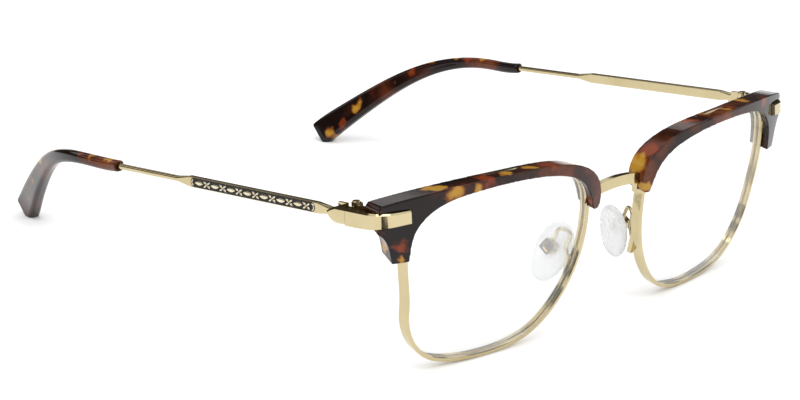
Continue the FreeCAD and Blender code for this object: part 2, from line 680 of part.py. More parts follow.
tip_sections = []
first, last = tip_curve.FirstParameter, tip_curve.LastParameter
GROWTH = [(0.0, 0.0), (0.15, 0.03), (0.3, 0.1), (0.42, 0.22), (0.55, 0.38), (0.7, 0.58), (0.85, 0.8), (1.0, 1.0)]
tip_h, tip_t = size("tip_height"), size("tip_thickness")
end_w, end_t = size("tip_end_width"), size("tip_end_thickness")
for share, grown in GROWTH:
    t = first + (last - first) * share
    spot = tip_curve.value(t)
    along = tip_curve.tangent(t)[0]
    inward = (V(1, 0, 0) - along * along.x).normalize()
    rise = inward.cross(along)
    wide = tip_t + (end_t - tip_t) * grown
    high = tip_h + (end_w - tip_h) * grown
    section = rounded_section(0, wide, high, 1.15)
    turn = FreeCAD.Matrix(inward.x, along.x, rise.x, spot.x, inward.y, along.y, rise.y, spot.y,
                          inward.z, along.z, rise.z, spot.z, 0, 0, 0, 1)
    section = section.transformGeometry(turn)
    tip_sections.append(section)
tip = Part.makeLoft(tip_sections, True)
tip_bore = along_path(core_r + size("core_gap"))
mouth = Part.makeCylinder(wire_r + 0.12, 1.2, TIP_PATH[0] - V(0, 0.1, 0), V(0, 1, 0))
tip = tip.cut(tip_bore).cut(mouth)
table_cut = Part.makeBox(400, 400, 60, V(-200, -200, -60))
table_cut.Placement = TEMPLE_FRAME.inverse()
tip = tip.cut(table_cut)
temple_arm = temple_arm.fuse(Part.makeCylinder(wire_r - 0.02, 0.8, TIP_PATH[0], V(0, 1, 0)))


# ------------------------------------------------------------------ nose pad: x to the back, y up, z away from the nose

splay = math.radians(size("pad_splay"))
flare = math.radians(size("pad_flare"))
pad_rise = V(-math.tan(flare), -math.tan(math.radians(size("pad_lean"))), 1).normalize()
pad_back = V(math.sin(splay), math.cos(splay), 0)
pad_back = (pad_back - pad_rise * pad_back.dot(pad_rise)).normalize()
pad_out = pad_back.cross(pad_rise)
PAD_FRAME = FreeCAD.Placement(V(size("pad_x"), size("pad_y"), size("pad_z")),
                              FreeCAD.Rotation(pad_back, pad_rise, pad_out, "ZXY"))
PIN_FRAME = PAD_FRAME.multiply(FreeCAD.Placement(
    V(0, size("pad_pin_rise"), size("pad_pin_height")), FreeCAD.Rotation(V(0, 0, 1), size("pad_rock_turn"))))

pad_w, pad_h, pad_t = size("pad_width") / 2, size("pad_height") / 2, size("pad_thickness")
PAD_OUTLINE = [(0.05, 1.0), (0.68, 0.8), (1.0, 0.15), (0.86, -0.5), (0.35, -0.97), (-0.3, -0.97), (-0.85, -0.5),
               (-1.0, 0.12), (-0.66, 0.8)]
outline = spline_wire([(x * pad_w, y * pad_h, -pad_t / 2) for x, y in PAD_OUTLINE])
nose_pad = Part.Face(outline).extrude(V(0, 0, pad_t))
nose_pad = soften(nose_pad, [e for e in nose_pad.Edges if e.Length > 10], pad_t * 0.42)

# the stem of the pad stands in the box and turns on the pad screw, all drawn round the screw
pin_height = size("pad_pin_height")
stem_x, stem_y = 0.7, 0.55
pad_pin_r = size("pad_screw_radius")
stem_gap = size("stem_gap")
stem = box(-stem_x, stem_x, -stem_y, stem_y, -pin_height + pad_t / 2 - 0.2, stem_y + 0.05)
stem_bore = Part.makeCylinder(pad_pin_r + size("pad_running_gap"), 8, V(-4, 0, 0), V(1, 0, 0))
stem = stem.cut(stem_bore)
nose_pad.Placement = PIN_FRAME.inverse().multiply(PAD_FRAME)
nose_pad = nose_pad.fuse(stem).cut(stem_bore).removeSplitter()

side = size("box_side") / 2
wall = size("box_wall")
box_low = -0.7
cavity_high = stem_y + stem_gap
box_high = cavity_high + wall + size("box_recess")
pad_box_shape = box(-side, side, -side, side, box_low, box_high)
pad_box_shape = soften(pad_box_shape, [e for e in pad_box_shape.Edges if e.BoundBox.ZLength > 1], 0.5)
pad_box_shape = pad_box_shape.cut(
    box(-stem_x - 0.12, stem_x + 0.12, -stem_y - 0.4, stem_y + 0.4, box_low - 1, cavity_high))
pad_box_shape = pad_box_shape.cut(
    box(-side + wall, side - wall, -side + wall, side - wall, cavity_high + wall, box_high + 1))
pad_screw = Part.makeCylinder(pad_pin_r, 2 * side + 0.1, V(-side, 0, 0), V(1, 0, 0))
pad_screw = pad_screw.fuse(Part.makeCylinder(0.62, 0.3, V(-side - 0.3, 0, 0), V(1, 0, 0))).removeSplitter()
pad_box_shape = pad_box_shape.cut(pad_screw)

# ------------------------------------------------------------------ pad arm, in the final frame

arm_r = size("arm_radius")
foot_u, foot_long = -22.4 * scale, 4.8 * scale
foot_n = -foot_u ** 2 / (2 * size("base_radius")) - half_rim

# from the box the wire rises, turns forward in a hook and comes down behind the rim to its soldered foot
box_middle = PIN_FRAME.Base
solder_point = LENS_FRAME.multVec(V(foot_u, 1.0, foot_n - 0.35))
ARM_STEPS = [(0, -0.5, 0.7), (-0.1, -2.1, 5.0), (-1.7, -5.2, 4.4), (-1.0, -3.75, 0.7)]
arm_points = [box_middle + V(*step) for step in ARM_STEPS] + [solder_point]
arm_path = Part.Wire(rounded_edges(arm_points, [0, 1.4, 1.4, 1.3, 0]))
arm_ring = Part.Wire(Part.makeCircle(arm_r, arm_points[0], arm_points[1] - arm_points[0]))
pad_arm = arm_path.makePipeShell([arm_ring], True, True)
foot = box(foot_u - 0.5, foot_u + 0.65, -foot_long / 2, foot_long / 2, foot_n - 0.75, foot_n + 0.4)
foot = soften(foot, [e for e in foot.Edges if e.BoundBox.ZLength > 1], 0.4)
foot = largest(foot.cut(rim_outer_prism.common(shell(half_rim, half_rim))))
foot.Placement = LENS_FRAME
pad_arm = pad_arm.fuse(foot)
box_global = box(-side, side, -side, side, box_low - 1, box_high + 1)
box_global.Placement = PIN_FRAME
pad_arm = pad_arm.cut(box_global)
rim_block = rim_outer_prism.common(shell(half_rim, half_rim))
rim_block.Placement = LENS_FRAME
pad_arm = largest(pad_arm.cut(rim_block).removeSplitter())

# ------------------------------------------------------------------ bridge against both rims and the brow

rim_block_right = rim_block.mirror(V(0, 0, 0), V(1, 0, 0))
bridge = bridge.cut(rim_block).cut(rim_block_right)
bridge = largest(bridge)
bridge_in_lens_frame = bridge.copy()
bridge_in_lens_frame.Placement = LENS_FRAME.inverse()
brow_solid = largest(brow_solid.cut(bridge_in_lens_frame))

# ------------------------------------------------------------------ the document's objects

add_shape("left_lens", lens_shape, LENS_FRAME)
add_shape("left_rim", rim_for_screws, LENS_FRAME)
add_shape("left_upper_rim_block", upper_block, LENS_FRAME)
add_shape("left_lower_rim_block", lower_block, LENS_FRAME)
add_shape("left_brow", brow_solid, LENS_FRAME)
add_shape("left_endpiece", endpiece, TEMPLE_FRAME)
add_shape("left_temple_arm", temple_arm, TEMPLE_FRAME)
add_shape("left_enamel_panel", panel, TEMPLE_FRAME)
add_shape("left_temple_tip", tip, TEMPLE_FRAME)
add_shape("left_nose_pad", nose_pad, PIN_FRAME)
add_shape("left_pad_box", pad_box_shape, PIN_FRAME)
add_shape("left_pad_arm", pad_arm)
add_shape("bridge", bridge)

for obj in [o for o in doc.Objects if o.Label.startswith("left_") and (
        o.TypeId in ("Part::Feature", "PartDesign::Body"))]:
    twin = doc.addObject("Part::Mirroring", obj.Label.replace("left_", "right_"))
    twin.Label = obj.Label.replace("left_", "right_")
    twin.Source = obj
    twin.Base = V(0, 0, 0)
    twin.Normal = V(1, 0, 0)


def fastener_group(label, pieces, placement):
    # equal screws of both sides, one node
    links = []
    for number, piece in enumerate(pieces):
        one = add_shape("%s_left_%d" % (label, number), piece, placement)
        other = doc.addObject("Part::Mirroring", "%s_right_%d" % (label, number))
        other.Source = one
        other.Normal = V(1, 0, 0)
        links += [one, other]
    group = doc.addObject("Part::Compound", label)
    group.Label = label
    group.Links = links
    return group


groups = [
    fastener_group("rim_screws", [rim_screw], LENS_FRAME),
    fastener_group("brow_screws", screw_parts, LENS_FRAME),
    fastener_group("hinge_screws", [hinge_screw], TEMPLE_FRAME),
    fastener_group("pad_screws", [pad_screw], PIN_FRAME),
]
doc.recompute()

NODES = [o for o in doc.Objects if o.TypeId in ("Part::Feature", "PartDesign::Body", "Part::Mirroring")
         and o.Label.split("_")[0] in ("left", "right") or o.Label == "bridge"] + groups
for obj in doc.Objects:
    if "Invalid" in obj.State or "Error" in obj.State:
        raise RuntimeError("%s did not recompute: %s" % (obj.Label, obj.State))
os.makedirs("parts", exist_ok=True)
for obj in NODES:
    if obj.Shape.isNull() or not obj.Shape.isValid():
        raise RuntimeError("%s has no valid shape" % obj.Label)
    obj.Shape.exportStep("parts/%s.step" % obj.Label)
whole = Part.makeCompound([o.Shape for o in NODES])
bounds = whole.BoundBox
print("nodes", len(NODES), "bounds", round(bounds.XMin, 2), round(bounds.XMax, 2), round(bounds.YMin, 2),
      round(bounds.YMax, 2), round(bounds.ZMin, 2), round(bounds.ZMax, 2))
for obj in NODES:
    box_of = obj.Shape.BoundBox
    print("%-26s solids %d volume %8.2f  x %7.2f %7.2f  y %7.2f %7.2f  z %6.2f %6.2f" % (
        obj.Label, len(obj.Shape.Solids), obj.Shape.Volume, box_of.XMin, box_of.XMax, box_of.YMin, box_of.YMax,
        box_of.ZMin, box_of.ZMax))
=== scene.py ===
# %% [markdown]
# # Browline eyeglasses
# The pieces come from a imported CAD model, which fixes every size and every joint. Blender adds what a drawing
# can't show: marbled acetate, polished gold, clear lenses, soft nose pads and the temple ornament.
# Everything is in metres, with the wearer's left on +X, the temples along +Y and the table at Z = 0.

# %% Load the frame
import json
import math

import bpy
from mathutils import Matrix, Vector


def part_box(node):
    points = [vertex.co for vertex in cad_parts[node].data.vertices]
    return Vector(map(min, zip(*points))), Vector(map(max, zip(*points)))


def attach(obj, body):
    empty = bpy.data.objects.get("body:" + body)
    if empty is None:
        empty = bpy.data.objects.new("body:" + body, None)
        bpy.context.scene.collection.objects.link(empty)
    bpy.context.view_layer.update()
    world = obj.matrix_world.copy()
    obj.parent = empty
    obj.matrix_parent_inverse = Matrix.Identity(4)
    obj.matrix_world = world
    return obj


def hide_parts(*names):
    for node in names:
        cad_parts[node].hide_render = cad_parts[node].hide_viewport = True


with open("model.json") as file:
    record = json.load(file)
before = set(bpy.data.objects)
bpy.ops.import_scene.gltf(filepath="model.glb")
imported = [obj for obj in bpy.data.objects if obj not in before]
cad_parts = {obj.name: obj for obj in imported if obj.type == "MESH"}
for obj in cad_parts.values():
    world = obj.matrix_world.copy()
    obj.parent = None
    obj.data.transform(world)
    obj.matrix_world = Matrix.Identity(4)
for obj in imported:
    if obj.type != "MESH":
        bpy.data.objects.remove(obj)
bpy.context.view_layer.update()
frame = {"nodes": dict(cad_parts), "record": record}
nodes = frame["nodes"]
MM = 0.001

# %% [markdown]
# ## The camera
# A long lens from about half a metre keeps the two lenses nearly the same size, as in a catalogue picture.
# The camera stands at the wearer's right, in front and a little above, and is turned by about one degree.

# %% Camera
AZIMUTH, ELEVATION, ROLL = math.radians(-45.12), math.radians(17.9), 0.0196
FOCAL_LENGTH = 102.8
camera_place = Vector((-390.2, -396.65, 191.2)) * MM


def aim_matrix(azimuth, elevation, roll):
    back = Vector((math.sin(azimuth) * math.cos(elevation), -math.cos(azimuth) * math.cos(elevation),
                   math.sin(elevation)))
    right = (-back).cross(Vector((0, 0, 1))).normalized()
    up = right.cross(-back)
    turned_right = right * math.cos(roll) + up * math.sin(roll)
    turned_up = up * math.cos(roll) - right * math.sin(roll)
    return Matrix((turned_right, turned_up, back)).transposed()


camera_data = bpy.data.cameras.new("catalogue_camera")
camera_data.lens = FOCAL_LENGTH
camera_data.sensor_width = 36.0
camera_data.clip_start = 0.01
camera = bpy.data.objects.new("catalogue_camera", camera_data)
bpy.context.collection.objects.link(camera)
camera.rotation_mode = "QUATERNION"
camera.location = camera_place
camera.rotation_quaternion = aim_matrix(AZIMUTH, ELEVATION, ROLL).to_quaternion()
bpy.context.scene.camera = camera
print("camera at", [round(v, 3) for v in camera.location])

# %% [markdown]
# ## Helpers for materials
# Every finish is a node material. One small helper makes the Principled shader and sets the sockets that are
# the same all over, and another adds a node and links it, so each recipe below stays short.

# %% Material helpers


def new_material(name, **sockets):
    material = bpy.data.materials.new(name)
    material.use_nodes = True
    shader = material.node_tree.nodes["Principled BSDF"]
    for socket, value in sockets.items():
        shader.inputs[socket.replace("_", " ")].default_value = value
    return material, material.node_tree, shader


def add_node(tree, kind, settings=None, **inputs):
    node = tree.nodes.new(kind)
    for key, value in (settings or {}).items():
        setattr(node, key, value)
    for socket, value in inputs.items():
        target = node.inputs[socket.replace("_", " ")]
        if isinstance(value, bpy.types.NodeSocket):
            tree.links.new(value, target)
        else:
            target.default_value = value
    return node


def add_ramp(tree, factor, stops, interpolation="LINEAR"):
    ramp = add_node(tree, "ShaderNodeValToRGB", Fac=factor)
    ramp.color_ramp.interpolation = interpolation
    elements = ramp.color_ramp.elements
    while len(elements) < len(stops):
        elements.new(0.5)
    for element, (place, colour) in zip(elements, stops):
        element.position = place
        element.color = tuple(colour) + (1.0,) if len(colour) == 3 else colour
    return ramp


def add_bump(tree, shader, height, strength, distance):
    bump = add_node(tree, "ShaderNodeBump", Strength=strength, Distance=distance, Height=height)
    tree.links.new(bump.outputs["Normal"], shader.inputs["Normal"])
    return bump


# %% [markdown]
# ## Pale gold
# The metal is plated and polished. Real plating is never a perfect mirror: it has faint polishing lines and
# its gloss wanders a little. Noise stretched along the piece drives the roughness and a very weak bump.

# %% Pale gold


def polished_metal(name, colour, shade, low, high, grain):
    material, tree, shader = new_material(name, Metallic=1.0)
    place = add_node(tree, "ShaderNodeTexCoord").outputs["Object"]
    wide = add_node(tree, "ShaderNodeTexNoise", Vector=place, Scale=90.0, Detail=4.0)
    tone = add_ramp(tree, wide.outputs["Fac"], [(0.3, colour), (0.75, shade)])
    tree.links.new(tone.outputs["Color"], shader.inputs["Base Color"])
    stretch = add_node(tree, "ShaderNodeMapping", Vector=place, Scale=grain)
    fine = add_node(tree, "ShaderNodeTexNoise", Vector=stretch.outputs["Vector"], Scale=900.0, Detail=3.0)
    gloss = add_node(tree, "ShaderNodeMapRange", Value=fine.outputs["Fac"], To_Min=low, To_Max=high)
    tree.links.new(gloss.outputs["Result"], shader.inputs["Roughness"])
    add_bump(tree, shader, fine.outputs["Fac"], 0.06, 0.00002)
    return material


ALONG_PIECE = (1.0, 0.25, 1.0)
EVEN = (1.0, 1.0, 1.0)
pale_gold = polished_metal("pale_gold", (0.60, 0.51, 0.31), (0.52, 0.43, 0.24), 0.05, 0.13, ALONG_PIECE)
screw_gold = polished_metal("screw_gold", (0.55, 0.46, 0.27), (0.44, 0.36, 0.2), 0.14, 0.3, EVEN)
relief_gold = polished_metal("relief_gold", (0.76, 0.69, 0.5), (0.66, 0.58, 0.38), 0.14, 0.26, EVEN)
print("gold finishes made")

# %% [markdown]
# ## Tortoise acetate
# The sheet is pressed from dark brown and amber flakes, then cut and polished, so the spots lie inside the
# plastic at random and are cut open by every face. A dark ground with a noise for the reddish clouds gives
# the sheet. The large flakes are listed one by one: each is a soft ball whose edge is bent by a noise. A flake
# is
# four numbers in millimetres: its middle in x, y and z, and how far it reaches.

# %% Tortoise acetate


FLAKE_SHARE = 0.82


def flake_mask(tree, place, flakes):
    # how near each point is to the closest flake, from 0 outside to 1 in its heart
    strongest = None
    for x, y, z, reach in flakes:
        radius = reach * FLAKE_SHARE
        offset = add_node(tree, "ShaderNodeVectorMath", {"operation": "DISTANCE"})
        tree.links.new(place, offset.inputs[0])
        offset.inputs[1].default_value = Vector((x, y, z)) * MM
        near = add_node(tree, "ShaderNodeMapRange", Value=offset.outputs["Value"], From_Min=radius * MM,
                        From_Max=radius * 0.35 * MM, To_Min=0.0, To_Max=1.0)
        if strongest is None:
            strongest = near.outputs["Result"]
            continue
        larger = add_node(tree, "ShaderNodeMath", {"operation": "MAXIMUM"})
        tree.links.new(strongest, larger.inputs[0])
        tree.links.new(near.outputs["Result"], larger.inputs[1])
        strongest = larger.outputs["Value"]
    return strongest


def tortoise_acetate(name, flakes, red_flakes):
    material, tree, shader = new_material(name, Roughness=0.1, Specular_IOR_Level=0.3)
    place = add_node(tree, "ShaderNodeTexCoord").outputs["Object"]
    fray = add_node(tree, "ShaderNodeTexNoise", Vector=place, Scale=190.0, Detail=3.0, Roughness=0.5)
    centred = add_node(tree, "ShaderNodeVectorMath", {"operation": "SUBTRACT"})
    tree.links.new(fray.outputs["Color"], centred.inputs[0])
    centred.inputs[1].default_value = (0.5, 0.5, 0.5)
    small = add_node(tree, "ShaderNodeVectorMath", {"operation": "SCALE"}, Scale=0.0065)
    tree.links.new(centred.outputs["Vector"], small.inputs[0])
    frayed = add_node(tree, "ShaderNodeVectorMath", {"operation": "ADD"})
    tree.links.new(place, frayed.inputs[0])
    tree.links.new(small.outputs["Vector"], frayed.inputs[1])
    clouds = add_node(tree, "ShaderNodeTexNoise", Vector=frayed.outputs["Vector"], Scale=85.0, Detail=2.5,
                      Roughness=0.5)
    ground = add_ramp(tree, clouds.outputs["Fac"], [
        (0.0, (0.003, 0.0025, 0.0025)), (0.44, (0.007, 0.003, 0.0025)), (0.54, (0.03, 0.007, 0.003)),
        (0.64, (0.085, 0.02, 0.006)), (0.8, (0.16, 0.045, 0.01))])
    colour = ground.outputs["Color"]
    for spots, core, rim in ((red_flakes, (0.17, 0.028, 0.006), (0.06, 0.009, 0.004)),
                             (flakes, (0.36, 0.19, 0.022), (0.17, 0.042, 0.007))):
        mask = flake_mask(tree, frayed.outputs["Vector"], spots)
        inside = add_ramp(tree, mask, [(0.1, rim), (0.75, core)])
        edge = add_ramp(tree, mask, [(0.0, (0, 0, 0)), (0.45, (1, 1, 1))])
        blend = add_node(tree, "ShaderNodeMix", {"data_type": "RGBA"})
        tree.links.new(edge.outputs["Color"], blend.inputs[0])
        tree.links.new(colour, blend.inputs[6])
        tree.links.new(inside.outputs["Color"], blend.inputs[7])
        colour = blend.outputs[2]
    tree.links.new(colour, shader.inputs["Base Color"])
    polish = add_node(tree, "ShaderNodeMapRange", Value=clouds.outputs["Fac"], To_Min=0.04, To_Max=0.11)
    tree.links.new(polish.outputs["Result"], shader.inputs["Roughness"])
    return material


# %% Where the flakes lie
BROW_FLAKES = [(-56, -74, 43.6, 3.2), (-54, -79, 42.5, 3.6), (-47, -79, 44, 1.9), (-38.5, -78, 44.4, 2.2),
               (-30.5, -79, 44.8, 2.6), (-18, -78, 43.2, 2.4), (-67, -70, 32, 2.6), (-66, -72, 29.5, 1.6),
               (33, -76, 44.6, 2.6), (40, -78, 44.6, 2.3), (51, -75, 43.8, 3.0), (9.5, -77, 37, 3.4),
               (8.6, -79, 32, 2.2), (62, -72, 41, 2.2)]
BROW_REDS = [(-60, -79, 40.5, 2.6), (-44, -78, 43.5, 3.6), (-25, -79, 44, 3.0), (-9.5, -78, 38, 3.6),
             (-11, -78, 33, 3.0), (-65.5, -73, 33, 2.6), (27, -78, 43.8, 2.6), (43, -78, 43.5, 2.4),
             (11, -78, 40, 3.2), (58, -76, 43, 2.4)]
TIP_FLAKES = [(-70, 20, 31.3, 2.0), (-70, 26, 31, 2.4), (-69.5, 33, 30.6, 1.8), (-67.5, 43, 28, 2.2),
              (-64, 55, 22, 2.4), (-60, 64, 15, 2.6), (-56, 72, 7, 2.8), (71, 22, 31.5, 2.6),
              (70, 30, 31.3, 2.4), (69, 38, 29.5, 2.2), (66.5, 47, 27, 2.8), (63, 57, 20, 2.4),
              (58, 67, 12, 2.8), (54, 75, 3, 3.0)]
TIP_REDS = [(-70, 30, 30.5, 2.6), (-66, 49, 25, 3.0), (-62, 60, 18, 2.8), (-53, 76, 2, 3.0),
            (69.5, 34, 30.5, 2.6), (65, 52, 23.5, 3.0), (60.5, 62, 16, 2.8), (56, 71, 7, 2.6)]
brow_acetate = tortoise_acetate("brow_acetate", BROW_FLAKES, BROW_REDS)
tip_acetate = tortoise_acetate("tip_acetate", TIP_FLAKES, TIP_REDS)
print("acetate flakes:", len(BROW_FLAKES) + len(TIP_FLAKES))

# %% [markdown]
# ## Lenses, nose pads and enamel
# A coated lens is seen almost only by its edge, so it is nearly transparent. Where it turns away it grows less
# clear and its white colour shows there as a painted sheen, standing in for its glancing reflection; the little
# real gloss it has grows with it. The pads are soft clear silicone, cloudy inside. The enamel is black glass
# with a faint ripple.

# %% Clear lens
lens_clear, tree, shader = new_material("clear_lens", Base_Color=(0.93, 0.95, 0.96, 1), IOR=1.5)
place = add_node(tree, "ShaderNodeTexCoord").outputs["Object"]
coating = add_node(tree, "ShaderNodeTexNoise", Vector=place, Scale=40.0, Detail=2.0)
turned = add_node(tree, "ShaderNodeFresnel", IOR=1.35)
# Painted sheen: the lens's white colour shows more where the face turns away, standing in for its glancing
# reflection.
painted_edge_sheen = add_node(tree, "ShaderNodeMapRange", Value=turned.outputs["Fac"], From_Max=0.6, To_Min=0.03,
                 To_Max=0.3)
tree.links.new(painted_edge_sheen.outputs["Result"], shader.inputs["Alpha"])
haze = add_node(tree, "ShaderNodeMapRange", Value=coating.outputs["Fac"], To_Min=0.02, To_Max=0.05)
tree.links.new(haze.outputs["Result"], shader.inputs["Roughness"])

# %% Silicone
silicone, tree, shader = new_material("clear_silicone", Transmission_Weight=0.4, IOR=1.38)
place = add_node(tree, "ShaderNodeTexCoord").outputs["Object"]
cloud = add_node(tree, "ShaderNodeTexNoise", Vector=place, Scale=300.0, Detail=3.0)
milky = add_ramp(tree, cloud.outputs["Fac"], [(0.3, (0.86, 0.87, 0.88)), (0.7, (0.95, 0.95, 0.95))])
tree.links.new(milky.outputs["Color"], shader.inputs["Base Color"])
soft = add_node(tree, "ShaderNodeMapRange", Value=cloud.outputs["Fac"], To_Min=0.18, To_Max=0.34)
tree.links.new(soft.outputs["Result"], shader.inputs["Roughness"])

# %% Black enamel
enamel, tree, shader = new_material("black_enamel", Specular_IOR_Level=0.2)
place = add_node(tree, "ShaderNodeTexCoord").outputs["Object"]
ripple = add_node(tree, "ShaderNodeTexNoise", Vector=place, Scale=420.0, Detail=2.0)
black = add_ramp(tree, ripple.outputs["Fac"], [(0.3, (0.004, 0.004, 0.006)), (0.75, (0.014, 0.014, 0.019))])
tree.links.new(black.outputs["Color"], shader.inputs["Base Color"])
glaze = add_node(tree, "ShaderNodeMapRange", Value=ripple.outputs["Fac"], To_Min=0.06, To_Max=0.16)
tree.links.new(glaze.outputs["Result"], shader.inputs["Roughness"])
add_bump(tree, shader, ripple.outputs["Fac"], 0.1, 0.00003)

# %% [markdown]
# ## Finishes for the CAD pieces
# The record names a material slot for every piece, so one table from slot to material dresses them all.

# %% Give each CAD node its finish
FINISH = {"brow_acetate": brow_acetate, "tip_acetate": tip_acetate, "clear_lens": lens_clear,
          "clear_silicone": silicone, "black_enamel": enamel, "screw_gold": screw_gold,
          "pale_gold": pale_gold}
slots = {entry["node"]: entry["material_slot"] for entry in frame["record"]["subparts"]}
for name, obj in nodes.items():
    obj.data.materials.clear()
    obj.data.materials.append(FINISH[slots[name]])
print("finishes given:", sorted(set(slots.values())))

# %% [markdown]
# ## Polished acetate shapes
# Acetate brows and tips are tumbled for days, which wears every sawn edge round. A bevel would have to guess
# which edges to take, so the surface is rebuilt from small voxels instead and then relaxed: the faces stay
# where they are and only the corners are rounded, the same all over, as tumbling does.

# %% Tumbled copies of the acetate pieces
VOXEL = 0.16 * MM
RELAX_STEPS = 5


def tumbled(node, body, finish):
    source = nodes[node]
    piece = bpy.data.objects.new(node + "_tumbled", source.data.copy())
    bpy.context.collection.objects.link(piece)
    weld = piece.modifiers.new("weld", "WELD")
    weld.merge_threshold = 0.0005 * MM
    remesh = piece.modifiers.new("voxels", "REMESH")
    remesh.mode = "VOXEL"
    remesh.voxel_size = VOXEL
    remesh.use_smooth_shade = True
    relax = piece.modifiers.new("relax", "SMOOTH")
    relax.factor = 0.5
    relax.iterations = RELAX_STEPS
    ready = bpy.context.evaluated_depsgraph_get()
    mesh = bpy.data.meshes.new_from_object(piece.evaluated_get(ready))
    piece.modifiers.clear()
    piece.data = mesh
    mesh.materials.clear()
    mesh.materials.append(finish)
    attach(piece, body)
    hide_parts(node)
    print(piece.name, "faces", len(mesh.polygons))


for side in ("left", "right"):
    tumbled(side + "_brow", "front", brow_acetate)
    tumbled(side + "_temple_tip", side + "_temple", tip_acetate)

# %% [markdown]
# ## The ornament on the enamel
# Fine gold relief stands on the black band: pointed ovals take turns with small four-petal crosses, and a
# crescent closes each end. What repeats along a line is Geometry Nodes work: one petal is shaped once, and
# instances of it make the ovals and the crosses. The tree's inputs are the sizes in metres.

# %% Where the enamel lies
slope_axis = Vector(next(j for j in frame["record"]["behaviour"]["joints"]
                         if j["name"] == "left_temple_fold")["axis"])
SLOPE = math.atan2(slope_axis.y, slope_axis.z)
low, high = (Vector(corner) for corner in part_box("left_enamel_panel"))
spread = high - low
straight = (spread.y - spread.z) / (math.cos(SLOPE) - math.sin(SLOPE))
BAND_HEIGHT = spread.y - straight * math.cos(SLOPE)
BAND_LENGTH = straight + BAND_HEIGHT
BAND_MIDDLE = (low + high) / 2
print("enamel band", round(BAND_LENGTH / MM, 2), "by", round(BAND_HEIGHT / MM, 2), "mm")

# %% Nodes for the ornament


def link_in(tree, value, socket):
    if isinstance(value, bpy.types.NodeSocket):
        tree.links.new(value, socket)
    else:
        socket.default_value = value


def calc(tree, operation, first, second=0.0):
    node = tree.nodes.new("ShaderNodeMath")
    node.operation = operation
    link_in(tree, first, node.inputs[0])
    link_in(tree, second, node.inputs[1])
    return node.outputs[0]


def vector_of(tree, x, y, z):
    node = tree.nodes.new("ShaderNodeCombineXYZ")
    for value, socket in zip((x, y, z), node.inputs):
        link_in(tree, value, socket)
    return node.outputs[0]


def placed(tree, geometry, move=(0, 0, 0), turn=(0, 0, 0), grow=(1, 1, 1)):
    node = tree.nodes.new("GeometryNodeTransform")
    link_in(tree, geometry, node.inputs["Geometry"])
    link_in(tree, move, node.inputs["Translation"])
    link_in(tree, turn, node.inputs["Rotation"])
    link_in(tree, grow, node.inputs["Scale"])
    return node.outputs["Geometry"]


def joined(tree, *parts):
    node = tree.nodes.new("GeometryNodeJoinGeometry")
    for part in parts:
        tree.links.new(part, node.inputs[0])
    return node.outputs[0]


def petal(tree):
    # a ball squeezed towards both ends, so that its outline is a pointed oval of half length 1
    ball = tree.nodes.new("GeometryNodeMeshUVSphere")
    ball.inputs["Segments"].default_value = 14
    ball.inputs["Rings"].default_value = 12
    upright = placed(tree, ball.outputs["Mesh"], turn=(math.pi / 2, 0, 0))
    spot = tree.nodes.new("GeometryNodeInputPosition")
    split = tree.nodes.new("ShaderNodeSeparateXYZ")
    tree.links.new(spot.outputs[0], split.inputs[0])
    left_over = calc(tree, "SUBTRACT", 1.0, calc(tree, "MULTIPLY", split.outputs[1], split.outputs[1]))
    pinch = calc(tree, "POWER", calc(tree, "MAXIMUM", left_over, 0.0), 0.5)
    shaped = tree.nodes.new("GeometryNodeSetPosition")
    tree.links.new(upright, shaped.inputs["Geometry"])
    tree.links.new(vector_of(tree, split.outputs[0], split.outputs[1],
                             calc(tree, "MULTIPLY", split.outputs[2], pinch)), shaped.inputs["Position"])
    return shaped.outputs["Geometry"]


def row(tree, motif, count, start, step):
    # the motif repeated along the band
    track = tree.nodes.new("GeometryNodeMeshLine")
    track.mode = "OFFSET"
    link_in(tree, count, track.inputs["Count"])
    link_in(tree, vector_of(tree, 0.0, start, 0.0), track.inputs["Start Location"])
    link_in(tree, vector_of(tree, 0.0, step, 0.0), track.inputs["Offset"])
    spread_out = tree.nodes.new("GeometryNodeInstanceOnPoints")
    tree.links.new(track.outputs["Mesh"], spread_out.inputs["Points"])
    tree.links.new(motif, spread_out.inputs["Instance"])
    return spread_out.outputs["Instances"]


def crescent(tree, radius, thick, turn, shift):
    arc = tree.nodes.new("GeometryNodeCurveArc")
    arc.mode = "RADIUS"
    arc.inputs["Resolution"].default_value = 17
    link_in(tree, radius, arc.inputs["Radius"])
    arc.inputs["Start Angle"].default_value = math.radians(-78)
    arc.inputs["Sweep Angle"].default_value = math.radians(156)
    share = tree.nodes.new("GeometryNodeSplineParameter")
    bulge = calc(tree, "SINE", calc(tree, "MULTIPLY", share.outputs["Factor"], math.pi))
    thin = tree.nodes.new("GeometryNodeSetCurveRadius")
    tree.links.new(arc.outputs["Curve"], thin.inputs["Curve"])
    tree.links.new(calc(tree, "ADD", calc(tree, "MULTIPLY", bulge, 0.8), 0.2), thin.inputs["Radius"])
    ring = tree.nodes.new("GeometryNodeCurvePrimitiveCircle")
    ring.inputs["Resolution"].default_value = 10
    link_in(tree, thick, ring.inputs["Radius"])
    tube = tree.nodes.new("GeometryNodeCurveToMesh")
    tree.links.new(thin.outputs["Curve"], tube.inputs["Curve"])
    tree.links.new(ring.outputs["Curve"], tube.inputs["Profile Curve"])
    tube.inputs["Fill Caps"].default_value = True
    upright = placed(tree, tube.outputs["Mesh"], turn=(0, math.pi / 2, 0))
    return placed(tree, upright, move=vector_of(tree, 0.0, shift, 0.0), turn=(turn, 0, 0))


